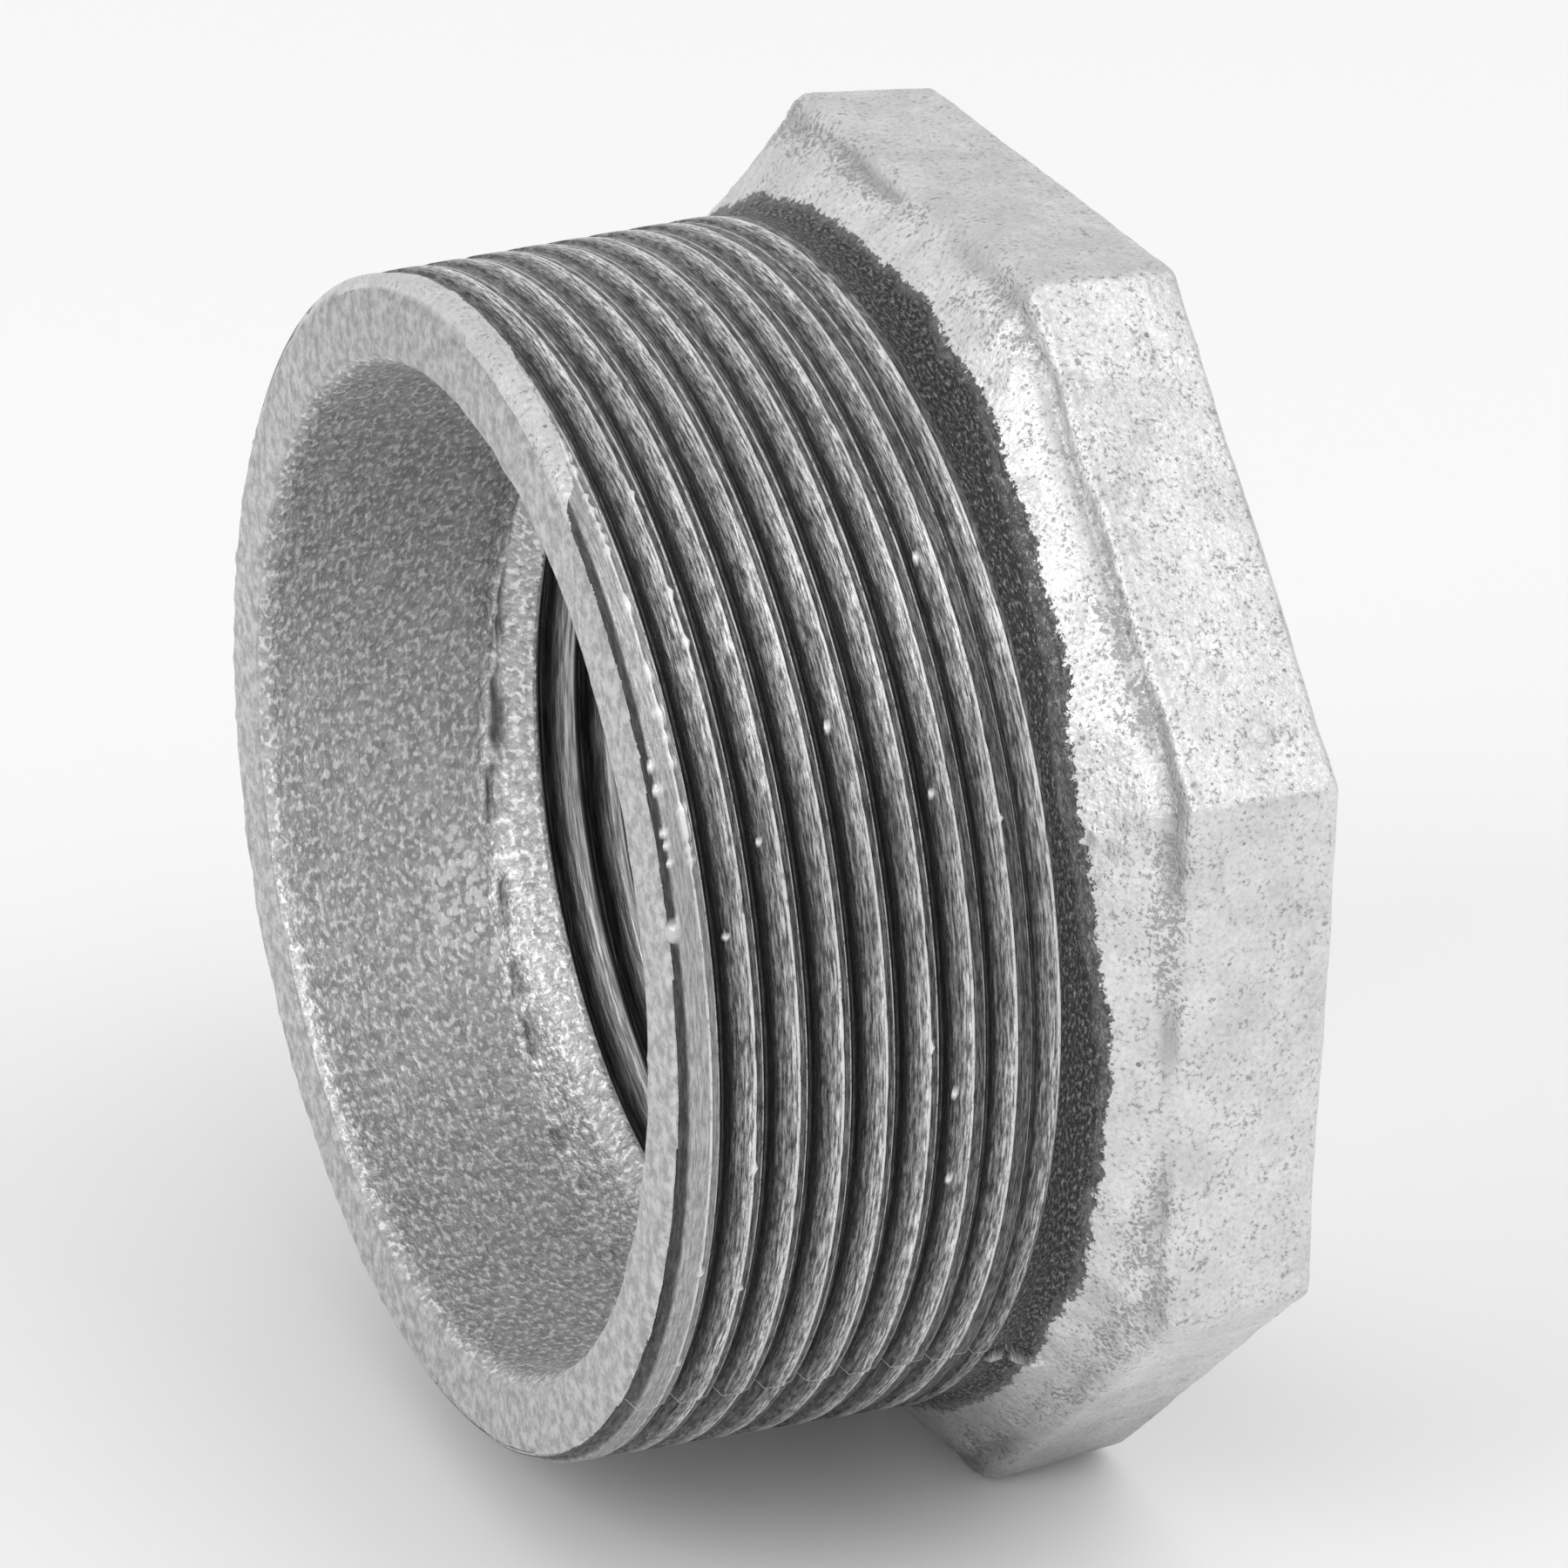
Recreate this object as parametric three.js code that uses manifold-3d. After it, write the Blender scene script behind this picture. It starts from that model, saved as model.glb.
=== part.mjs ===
// Threaded reducing bushing with an octagonal head, in millimetres.
// A 2 inch taper pipe thread outside meets a 1 1/2 inch taper pipe thread inside, in one iron casting.
//
// Every profile below is drawn on the flow axis: z = 0 is the face of the head, where the smaller pipe
// screws in, and z rises to the rim of the male end. The finished mesh is then laid down, with the flow
// axis along X.
import * as THREE from "three";
import { mergeVertices } from "three/addons/utils/BufferGeometryUtils.js";
import Module from "manifold-3d";

const wasm = await Module();
wasm.setup();

// Pipe thread form: 11.5 threads to the inch, 60 degree flanks, taper 1 in 16 on the diameter.
const PITCH = 25.4 / 11.5;
const RADIUS_TAPER = 1 / 32;
const FLANK_ANGLE = THREE.MathUtils.degToRad(30);

// How deep each thread is cut, and the flat at the bottom of its groove. The outer one is shallow, with
// broad crests.
const MALE_THREAD = { depth: 0.66, rootFlat: 0.41 };
const FEMALE_THREAD = { depth: 1.7, rootFlat: 0.05 };

// Lengths along the flow axis.
const LENGTH = 32.3;
const HEAD_FLATS_END = 7.8;
const SHOULDER_END = 10.9;
const MALE_THREAD_START = 13;
const FEMALE_THREAD_END = 17.5;
const CAVITY_FLOOR = 20.2;

// Octagonal head: cast flats that narrow towards the face, with a bevelled edge.
const ACROSS_FLATS = 66;
const FLAT_DRAFT = 0.5;
const HEAD_EDGE = 0.3;

// Male end.
const NECK_RADIUS = 30;
const NECK_FILLET = 0.5;
const MALE_END_RADIUS = 29.7;
const RIM_BEVEL = { width: 0.9, length: 0.5 };
const MOUTH_BEVEL = 0.5;

// Where the outer thread's groove ends, near the neck: along the axis, and round it.
const MALE_RUN_OUT = { z: 14.4, angle: THREE.MathUtils.degToRad(-123.75) };

// Female thread, and the cast cavity behind it.
const FEMALE_FACE_RADIUS = 22.26;
const FACE_CHAMFER = 2.3;
const CAVITY_FLOOR_RADIUS = 24.4;
const CAVITY_MOUTH_RADIUS = 25.3;

// Facets in a turn. Outside, a multiple of 16 puts a facet edge on every corner of the octagon.
const OUTER_FACETS = 32;
const INNER_FACETS = 24;
const FULL_TURN = 2 * Math.PI;
const FLAT_ANGLE = FULL_TURN / 8;

const profile = (pairs) => pairs.map(([radius, z]) => new THREE.Vector2(radius, z));

// A solid of revolution about Z, from a list of [radius, z].
function turned(pairs, facets) {
  return new THREE.LatheGeometry(profile(pairs), facets).rotateX(Math.PI / 2);
}

// A geometry with only positions, its shared vertices merged, as a manifold-3d solid.
function solidOf(geometry) {
  const bare = new THREE.BufferGeometry();
  bare.setAttribute("position", geometry.getAttribute("position"));
  bare.setIndex(geometry.index);
  const merged = mergeVertices(bare, 1e-4);
  return new wasm.Manifold(
    new wasm.Mesh({
      numProp: 3,
      vertProperties: merged.attributes.position.array,
      triVerts: new Uint32Array(merged.index.array),
    }),
  );
}

function geometryOf(solid) {
  const { vertProperties, triVerts } = solid.getMesh();
  const geometry = new THREE.BufferGeometry();
  geometry.setAttribute("position", new THREE.BufferAttribute(vertProperties, 3));
  geometry.setIndex(new THREE.BufferAttribute(triVerts, 1));
  geometry.computeVertexNormals();
  return geometry;
}

// How much further from the axis an octagon's side is than the middle of its flat, in the direction of an
// angle.
function octagonStretch(angle) {
  const fromFlatCentre = angle - FLAT_ANGLE * Math.round(angle / FLAT_ANGLE);
  return 1 / Math.cos(fromFlatCentre);
}

// Pushes every vertex of the rings below zTop out to the octagon, and leaves the rings above it round.
function squareToOctagon(geometry, zTop) {
  const position = geometry.attributes.position;
  for (let i = 0; i < position.count; i++) {
    if (position.getZ(i) > zTop) continue;
    const stretch = octagonStretch(Math.atan2(position.getY(i), position.getX(i)));
    position.setX(i, position.getX(i) * stretch);
    position.setY(i, position.getY(i) * stretch);
  }
  return geometry;
}

// Outside of the casting before threading: octagonal head, sloping shoulder, round neck and tapered shank.
function blank() {
  const flatFront = ACROSS_FLATS / 2;
  const flatBack = flatFront - FLAT_DRAFT;
  const threadStartRadius = MALE_END_RADIUS + (LENGTH - MALE_THREAD_START) * RADIUS_TAPER;
  const outline = [
    [0, 0],
    [flatBack - HEAD_EDGE, 0],
    [flatBack, HEAD_EDGE],
    [flatFront, HEAD_FLATS_END],
    [NECK_RADIUS + NECK_FILLET, SHOULDER_END],
    [NECK_RADIUS, SHOULDER_END + NECK_FILLET],
    [NECK_RADIUS, MALE_THREAD_START - NECK_FILLET],
    [threadStartRadius, MALE_THREAD_START],
    [MALE_END_RADIUS, LENGTH - RIM_BEVEL.length],
    [MALE_END_RADIUS - RIM_BEVEL.width, LENGTH],
    [0, LENGTH],
  ];
  return solidOf(squareToOctagon(turned(outline, OUTER_FACETS), (HEAD_FLATS_END + SHOULDER_END) / 2));
}

// Everything inside: chamfer and tapered bore for the female thread, sloping ledge, and the cast cavity.
function bore() {
  const past = 2;
  const boreAt = (z) => FEMALE_FACE_RADIUS - z * RADIUS_TAPER;
  const outline = [
    [0, -past],
    [boreAt(0) + FACE_CHAMFER + past, -past],
    [boreAt(0), FACE_CHAMFER],
    [boreAt(FEMALE_THREAD_END), FEMALE_THREAD_END],
    [CAVITY_FLOOR_RADIUS, CAVITY_FLOOR],
    [CAVITY_MOUTH_RADIUS, LENGTH - MOUTH_BEVEL],
    [CAVITY_MOUTH_RADIUS + MOUTH_BEVEL, LENGTH],
    [CAVITY_MOUTH_RADIUS + MOUTH_BEVEL, LENGTH + past],
    [0, LENGTH + past],
  ];
  return solidOf(turned(outline, INNER_FACETS));
}

// The body that a thread groove sweeps: a section wound on a conical right-hand helix and closed at both
// ends. section is a closed outline of [radius, z] at z = 0, and startAngle is where its first end lies.
function groove(section, { startZ, endZ, startAngle, facets }) {
  const steps = Math.round(((endZ - startZ) / PITCH) * facets);
  const outline = profile(section.map(([radius, z]) => [radius - startZ * RADIUS_TAPER, z]));
  const wound = new THREE.LatheGeometry([...outline, outline[0]], steps, 0, (steps / facets) * FULL_TURN);
  const position = wound.attributes.position;
  const ring = outline.length + 1;
  for (let i = 0; i < position.count; i++) {
    const step = Math.floor(i / ring);
    const rise = (PITCH * step) / facets;
    const angle = (FULL_TURN * step) / facets;
    const radius = outline[(i % ring) % outline.length].x - rise * RADIUS_TAPER;
    position.setXYZ(i, radius * Math.sin(angle), position.getY(i) + rise, radius * Math.cos(angle));
  }
  const lastRing = steps * ring;
  const index = [...wound.index.array];
  for (const [a, b, c] of THREE.ShapeUtils.triangulateShape(outline, [])) {
    index.push(a, b, c);
    index.push(lastRing + c, lastRing + b, lastRing + a);
  }
  wound.setIndex(index);
  wound.rotateX(Math.PI / 2).translate(0, 0, startZ).rotateZ(startAngle + Math.PI / 2);
  return solidOf(wound);
}

// The section of a groove with a flat root: outward is 1 for an external thread, whose groove opens away
// from the axis, and -1 for an internal one. It reaches past the crests, and what the turns leave standing
// is the crest flat.
function grooveSection(crestRadius, outward, { depth, rootFlat }) {
  const clearance = 0.1;
  const root = crestRadius - outward * depth;
  const mouth = crestRadius + outward * clearance;
  const halfRoot = rootFlat / 2;
  const halfMouth = halfRoot + (depth + clearance) * Math.tan(FLANK_ANGLE);
  const corners = [
    [root, halfRoot],
    [root, -halfRoot],
    [mouth, -halfMouth],
    [mouth, halfMouth],
  ];
  return outward > 0 ? corners : corners.reverse();
}

function threadedBushing() {
  const maleGroove = groove(grooveSection(MALE_END_RADIUS + LENGTH * RADIUS_TAPER, 1, MALE_THREAD), {
    startZ: MALE_RUN_OUT.z,
    endZ: LENGTH + 2 * PITCH,
    startAngle: MALE_RUN_OUT.angle,
    facets: OUTER_FACETS,
  });
  const femaleGroove = groove(grooveSection(FEMALE_FACE_RADIUS, -1, FEMALE_THREAD), {
    startZ: -2 * PITCH,
    endZ: CAVITY_FLOOR + PITCH,
    startAngle: 0,
    facets: INNER_FACETS,
  });
  return blank().subtract(bore()).subtract(maleGroove).subtract(femaleGroove);
}

const galvanised = new THREE.MeshStandardMaterial({ color: 0xb9bbbd, metalness: 0.85, roughness: 0.5 });

const casting = new THREE.Mesh(geometryOf(threadedBushing()), galvanised);
casting.name = "bushing_casting";

// Laid on one flat of the octagon: the flow axis along X, the male end towards -X, the origin at mid-length.
const laidDown = new THREE.Group();
laidDown.rotation.y = -Math.PI / 2;
laidDown.position.x = LENGTH / 2;
laidDown.add(casting);

const part = new THREE.Group();
part.add(laidDown);

export default part;
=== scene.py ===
"""Visual scene of the threaded reducing bushing: one galvanised casting with cut threads.

Shapes are worked out in millimetres on the flow axis: r is the distance from the axis, z the distance
from the head's face (the rim of the male end is at z = LENGTH), and the angle is 0 at the top and grows
towards +Y.
"""

from functools import reduce
from itertools import product

import bpy
import numpy as np
from mathutils import Matrix, Vector


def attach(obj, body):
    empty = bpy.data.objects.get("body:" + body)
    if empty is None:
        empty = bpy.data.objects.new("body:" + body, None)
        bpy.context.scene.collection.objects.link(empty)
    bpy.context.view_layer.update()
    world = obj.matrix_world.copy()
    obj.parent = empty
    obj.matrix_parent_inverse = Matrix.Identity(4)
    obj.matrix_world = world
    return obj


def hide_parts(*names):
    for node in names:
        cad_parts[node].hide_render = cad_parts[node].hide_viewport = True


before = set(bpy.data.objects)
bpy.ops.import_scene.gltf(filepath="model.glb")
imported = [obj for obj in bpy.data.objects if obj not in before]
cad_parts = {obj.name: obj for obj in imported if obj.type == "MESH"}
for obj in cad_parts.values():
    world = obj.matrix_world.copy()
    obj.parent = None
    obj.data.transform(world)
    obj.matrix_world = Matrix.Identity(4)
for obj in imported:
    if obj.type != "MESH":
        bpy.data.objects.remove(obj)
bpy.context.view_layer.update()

MM = 0.001

# Driving dimensions, the same as the CAD part's.
PITCH = 25.4 / 11.5
TAPER = 1 / 32
LENGTH = 32.3
ACROSS_FLATS = 66.0
FLAT_DRAFT = 0.5
HEAD_EDGE = 0.3
HEAD_FLATS_END = 7.8
SHOULDER_END = 10.9
NECK_RADIUS = 30.0
MALE_END_RADIUS = 29.7
FEMALE_FACE_RADIUS = 22.26
FACE_CHAMFER = 2.3
FEMALE_THREAD_END = 17.5
CAVITY_FLOOR = 20.2
CAVITY_FLOOR_RADIUS = 24.4
CAVITY_MOUTH_RADIUS = 25.3

# The rim's flat face runs from RIM_INNER_RADIUS out to RIM_RADIUS, and its outer bevel starts at
# RIM_BEVEL_START. The ledge between the inner thread and the cavity passes LEDGE_RADIUS at FEMALE_HIGH.
RIM_RADIUS = 28.8
RIM_BEVEL_START = 31.8
RIM_INNER_RADIUS = 25.6
LEDGE_RADIUS = 23.45

# Thread form: 60 degree grooves. The outer thread is cut shallow, so its crests are broad flats. Beside each
# crest, on its neck side, a lower bench runs to the groove. The last grooves get shallower towards the neck.
# The middle of each thread's first crest is at FIRST_CREST or FIRST_INNER_CREST on the seam, where the die
# stopped. The helical rows fill the heights between LOW and HIGH.
FLANK_SLOPE = np.tan(np.radians(30))
MALE_DEPTH = 0.66
ROOT_FLAT = 0.1
GROOVE_WIDTH = 1.174
CREST_FLAT = PITCH - GROOVE_WIDTH
BENCH_DEPTH = 0.12
FULL_DEPTH_END = 19.4
DEPTH_LOSS = 0.07
FEMALE_DEPTH = 1.6
SEAM_ANGLE = np.radians(-127.5)
FIRST_CREST = 30.94
FIRST_INNER_CREST = 16.9
MALE_LOW, MALE_HIGH = 11.7, 32.18
FEMALE_LOW, FEMALE_HIGH = 0.55, 19.3

# The casting sat off-centre in the die, which cut less about this angle, in degrees.
SHALLOW_ANGLE = 5
SHALLOW_SPREAD = 33
SHALLOW_LOSS = 0.6

# Marks, as heights on the flow axis in mm and angles in degrees: the casting's seam, the edge of the zinc at
# the neck, where the first crest starts at FIRST_CREST_ANGLE, the flat with blisters, the die's last bite,
# the curl of swarf, the well-rounded corner of the octagon, and the painted highlight in the cavity.
SEAM_Z = 8.35
ZINC_EDGE_Z = 10.55
FIRST_CREST_Z = 30.5
FIRST_CREST_ANGLE = -52
BLISTER_ANGLE = -45
BITE_ANGLE = -129
CURL_ANGLE = -71
ROUND_CORNER_ANGLE = -157.5
HIGHLIGHT_ANGLE = 121
HIGHLIGHT_Z = 22.3

# The cavity's floor is off square, because the core that cast it lay askew: how far, in mm, and which way.
LEDGE_TILT = 2.0
LEDGE_SHIFT = -0.5
LEDGE_TILT_ANGLE = np.radians(190)

# Finish: how blue the grey metal is, and how far the zinc stands over the cut iron, in mm.
BLUENESS = 1.01
ZINC_THICKNESS = 0.06

# Mesh: columns round a turn, the spacing of the head's and the mouth's rows in mm, and how close a helical
# row may come to the end of its zone.
COLUMNS = 576
HEAD_SPACING = 0.38
MOUTH_SPACING = 0.42
MALE_SPARE = 0.02
FEMALE_SPARE = 0.03
TURN = 2 * np.pi


# ---------------------------------------------------------------- small numeric tools


# Noise starts well away from its lattice's origin, and its gain brings it to about -1 to 1.
NOISE_ORIGIN = 100
NOISE_GAIN = 1.7


def smoothstep(low, high, value):
    """0 at low, 1 at high, and smooth between; low may be the greater."""
    share = np.clip((value - low) / (high - low), 0, 1)
    return share * share * (3 - 2 * share)


def smooth_min(a, b, radius):
    """The lesser of a and b, rounded off where they cross."""
    blend = np.clip(0.5 + 0.5 * (b - a) / radius, 0, 1)
    return b + (a - b) * blend - radius * blend * (1 - blend)


def smooth_max(a, b, radius):
    return -smooth_min(-a, -b, radius)


def bell(distance, width):
    """1 at no distance, falling away smoothly on both sides to about a third at width."""
    return np.exp(-((distance / width) ** 2))


def noise(points, scale, seed):
    """Gradient noise, about -1 to 1, with features `scale` mm apart at points given in mm."""
    rng = np.random.default_rng(seed)
    table = rng.permutation(256)
    gradients = rng.normal(size=(256, 3))
    gradients /= np.linalg.norm(gradients, axis=1)[:, None]
    points = points / scale + NOISE_ORIGIN
    cell = np.floor(points).astype(int)
    part = points - cell
    fade = part**3 * (part * (part * 6 - 15) + 10)
    total = np.zeros(len(points))
    for corner in product((0, 1), repeat=3):
        corner = np.array(corner)
        key = (cell + corner) & 255
        pick = table[(table[(table[key[:, 0]] + key[:, 1]) & 255] + key[:, 2]) & 255]
        weight = np.prod(np.where(corner, fade, 1 - fade), axis=1)
        total += weight * np.sum((part - corner) * gradients[pick], axis=1)
    return total * NOISE_GAIN


def fractal(points, scale, seed, octaves):
    """Noise summed over octaves, each half the size and half the strength of the last."""
    return sum(noise(points, scale / 2**k, seed + k) / 2**k for k in range(octaves))


def around(angle, centre):
    """Degrees round the axis from centre, -180 to 180."""
    return (np.degrees(angle) - centre + 180) % 360 - 180


# ---------------------------------------------------------------- the section of the casting


def octagon_radius(angles, apothem, corner_radii):
    """Distance from the axis to the side of an octagon with rounded corners, for each angle."""
    half = np.radians(22.5)
    sector = np.floor((angles + half) / (2 * half))
    from_flat = angles - sector * 2 * half
    flat = apothem / np.cos(from_flat)
    from_corner = half - np.abs(from_flat)
    centre = (apothem - corner_radii) / np.cos(half)
    reach = np.arctan2(corner_radii * np.sin(half), centre + corner_radii * np.cos(half))
    inside = np.maximum(corner_radii**2 - (centre * np.sin(from_corner)) ** 2, 0)
    arc = centre * np.cos(from_corner) + np.sqrt(inside)
    return np.where(from_corner < reach, arc, flat)


def section_rows(corners, spacing):
    """Rows along a polyline of (values..., rounding, spacing scale): corners become short curves."""
    points = np.array([c[:-2] for c in corners], float)
    rounding = [c[-2] for c in corners]
    density = [c[-1] for c in corners]
    rows = [points[0]]
    for i in range(1, len(points)):
        before = points[i - 1]
        here = points[i]
        length = np.hypot(*(here - before)[:2])
        start = before + (here - before) * rounding[i - 1] / length
        end = here + (before - here) * rounding[i] / length
        steps = max(1, int(round(np.hypot(*(end - start)[:2]) / (spacing * density[i]))))
        for k in range(1, steps + 1):
            rows.append(start + (end - start) * k / steps)
        if rounding[i] and i + 1 < len(points):
            after = points[i + 1]
            leave = here + (after - here) * rounding[i] / np.hypot(*(after - here)[:2])
            curve = max(3, int(round(1.6 * rounding[i] / (spacing * density[i]))))
            for k in range(1, curve + 1):
                t = k / curve
                rows.append((1 - t) ** 2 * end + 2 * t * (1 - t) * here + t**2 * leave)
    return np.array(rows)


def head_corners():
    """The outside of the head from the female thread to the neck.

    Each corner is (radius, z, squareness, rounding, spacing scale).
    """
    front = ACROSS_FLATS / 2
    back = front - FLAT_DRAFT
    chamfer_edge = FEMALE_FACE_RADIUS + FACE_CHAMFER
    return [
        (chamfer_edge - FEMALE_LOW, FEMALE_LOW, 0, 0, 1),
        (chamfer_edge, 0, 0, 0.12, 0.6),
        (back - HEAD_EDGE, 0, 1, 0.15, 1.5),
        (back, HEAD_EDGE, 1, 0.15, 0.5),
        (front - 0.05, HEAD_FLATS_END - 0.5, 1, 0.2, 1),
        (front - 0.3, HEAD_FLATS_END, 1, 0.25, 0.6),
        (NECK_RADIUS + 0.55, SHOULDER_END, 0.03, 0.35, 0.8),
        (NECK_RADIUS, MALE_LOW - 0.2, 0, 0.15, 0.6),
        (NECK_RADIUS, MALE_LOW, 0, 0, 0.6),
    ]


def mouth_corners():
    """From the end of the male thread, over the rim and down the cavity to the female thread."""
    return [
        (RIM_RADIUS + 0.05, MALE_HIGH, 0, 0, 1),
        (RIM_RADIUS - 0.12, LENGTH, 0, 0.1, 0.4),
        (RIM_INNER_RADIUS + 0.15, LENGTH, 0, 0.35, 0.7),
        (CAVITY_MOUTH_RADIUS - 0.05, LENGTH - 0.75, 0, 0.35, 0.6),
        (CAVITY_FLOOR_RADIUS, CAVITY_FLOOR, 0, 0.5, 0.9),
        (LEDGE_RADIUS, FEMALE_HIGH, 0, 0, 0.5),
    ]


def ledge_radius(z):
    """The sloping ledge between the female thread and the cavity."""
    thread_end_radius = FEMALE_FACE_RADIUS - FEMALE_THREAD_END * TAPER
    slope = (LEDGE_RADIUS - thread_end_radius) / (FEMALE_HIGH - FEMALE_THREAD_END)
    return thread_end_radius + (z - FEMALE_THREAD_END) * slope


def shank_radius(z):
    """The outside of the male end before threading: neck, taper and bevelled rim."""
    cone = MALE_END_RADIUS + (LENGTH - z) * TAPER
    radius = NECK_RADIUS + (cone - NECK_RADIUS) * smoothstep(12.7, 13.1, z)
    bevel_slope = (MALE_END_RADIUS - RIM_RADIUS) / (LENGTH - RIM_BEVEL_START)
    bevel = MALE_END_RADIUS - (z - RIM_BEVEL_START) * bevel_slope
    return smooth_min(radius, bevel, 0.1)


def off_centre(angle):
    """1 where the die stood off the casting, which sat off-centre in it, and 0 where it cut fully."""
    return bell(around(angle, SHALLOW_ANGLE), SHALLOW_SPREAD)


def male_depth(z, angle):
    """How deep the die cut: less in the last turns near the neck, and less where it stood off."""
    depth = np.clip(MALE_DEPTH - DEPTH_LOSS * (FULL_DEPTH_END - z), 0, MALE_DEPTH)
    return depth * (1 - SHALLOW_LOSS * off_centre(angle))


def male_thread(z, from_crest, angle):
    """Radius, share of the full depth, and nearness to a crest's edge.

    from_crest is how far z is from the centre of the nearest crest.
    """
    from_corner = np.where(from_crest > 0, from_crest, from_crest + PITCH) - CREST_FLAT / 2
    deepest = male_depth(z - from_corner + GROOVE_WIDTH / 2, angle)
    rim_flank = from_corner / FLANK_SLOPE
    neck_flank = (ROOT_FLAT - from_corner) / FLANK_SLOPE + 2 * deepest
    lip = (GROOVE_WIDTH - from_corner) / FLANK_SLOPE
    neck_side = np.maximum(neck_flank, np.minimum(BENCH_DEPTH, deepest))
    depth = np.minimum(smooth_min(rim_flank, deepest, 0.03), neck_side)
    depth = smooth_max(np.minimum(depth, lip), 0, 0.03)
    cone = MALE_END_RADIUS + (LENGTH - z) * TAPER
    radius = smooth_min(cone - depth, shank_radius(z), 0.04)
    share = np.clip((cone - radius) / MALE_DEPTH, 0, 1)
    edge = bell(np.abs(from_crest) - CREST_FLAT / 2, 0.09)
    return radius, share, edge * smoothstep(12.9, 13.2, z)


def female_thread(z, from_crest, _angle):
    """The same for the inner thread, which is as deep all round."""
    from_root = PITCH / 2 - np.abs(from_crest)
    crest = FEMALE_FACE_RADIUS - z * TAPER
    groove = crest + FEMALE_DEPTH - np.maximum(from_root - ROOT_FLAT / 2, 0) / FLANK_SLOPE
    chamfer = FEMALE_FACE_RADIUS + FACE_CHAMFER - z
    blank = smooth_max(crest, smooth_max(chamfer, ledge_radius(z), 0.1), 0.1)
    radius = smooth_max(groove, blank, 0.06)
    share = np.clip((radius - blank) / FEMALE_DEPTH, 0, 1)
    edge = bell(blank - groove, 0.09)
    return radius, share, edge


# ---------------------------------------------------------------- rows, columns and faces


def column_angles():
    """Angles of the columns from the seam round, closer at the octagon's corners and beside the seam."""
    even = SEAM_ANGLE + np.arange(COLUMNS) * TURN / COLUMNS
    warped = even + 0.35 / 8 * np.sin(8 * even)
    warped += SEAM_ANGLE - warped[0]
    past_seam = np.arange(0.25, 3.5, 0.25)
    before_seam = 360 - np.arange(0.25, 5, 0.25)
    near_seam = SEAM_ANGLE + np.radians(np.concatenate([past_seam, before_seam]))
    return np.unique(np.round(np.concatenate([warped, near_seam]), 5))


def male_offsets():
    """Distances from a crest's centre at which rows follow the outer thread, over one pitch."""
    corner = CREST_FLAT / 2
    flank = MALE_DEPTH * FLANK_SLOPE
    flat = [-0.97 * corner, -0.8 * corner, -0.4 * corner, 0, 0.5 * corner, 0.9 * corner]
    groove = [0, 0.03, *np.linspace(0.1, flank - 0.06, 6), flank, flank + ROOT_FLAT]
    groove += [*np.linspace(flank + ROOT_FLAT + 0.07, GROOVE_WIDTH - 0.07, 8), GROOVE_WIDTH - 0.02]
    return np.array(flat + [corner + g for g in groove])


def female_offsets():
    """The same for the inner thread."""
    half = [0.18, 0.27, 0.5, 0.8, 1.03]
    return np.array([-h for h in reversed(half)] + half + [PITCH / 2])


ANGLES = column_angles()
MALE_OFFSETS = male_offsets()
FEMALE_OFFSETS = female_offsets()


class Zone:
    """Vertices of one stretch of the section: index[row, column] is -1 where a helical row isn't there."""

    def __init__(self, radius, z, kind, helical=0, **fields):
        self.radius = radius
        self.z = z
        self.kind = kind
        self.helical = helical
        self.fields = fields
        self.present = np.ones(radius.shape, bool)


def fixed_zone(rows, kind, corner_radii):
    """Rows that keep their z all the way round, squared to the octagon where the section says so."""
    apothem, z, square = rows.T
    angle = ANGLES[None, :]
    round_part = apothem[:, None] + 0 * angle
    octagon = octagon_radius(angle + 0 * round_part, round_part, corner_radii[None, :] + 0 * round_part)
    radius = round_part + (octagon - round_part) * square[:, None]
    return Zone(radius, z[:, None] + 0 * angle, kind)


def nearest_crest(from_first):
    """Distance from the nearest crest, given the distance from the first one."""
    return from_first - PITCH * np.round(from_first / PITCH)


def helical_zone(thread, first_crest, heights, offsets, kind, spare):
    """Rows that follow the helix between two heights; each leaves where it meets the end of the zone."""
    low, high = heights
    count = len(offsets)
    turns = np.arange(int((low - first_crest) // PITCH) - 1, int((high - first_crest) // PITCH) + 2)
    crests = np.repeat(turns, count) * PITCH
    from_crest = np.tile(offsets, len(turns))
    rise = PITCH * (ANGLES - SEAM_ANGLE) / TURN
    z = first_crest + (crests + from_crest)[:, None] + rise[None, :]
    radius, share, edge = thread(z, nearest_crest(from_crest)[:, None] + 0 * z, ANGLES[None, :])
    zone = Zone(radius, z, kind, helical=count, share=share, edge=edge)
    zone.present = (z > low + spare) & (z < high - spare)
    return zone


def index_zones(zones):
    """Numbers the vertices of all zones in order, and returns how many there are."""
    start = 0
    for zone in zones:
        zone.index = np.full(zone.present.shape, -1)
        amount = int(zone.present.sum())
        zone.index[zone.present] = np.arange(start, start + amount)
        start += amount
    return start


def quads(a, b, c, d):
    """One face for each place in four equal arrays of vertex numbers."""
    return np.stack([a.ravel(), b.ravel(), c.ravel(), d.ravel()], axis=1)


def fixed_faces(index):
    """Faces between neighbouring rows and columns, closed round the turn."""
    following = np.roll(index, -1, axis=1)
    return quads(index[:-1], index[1:], following[1:], following[:-1]).tolist()


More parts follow.
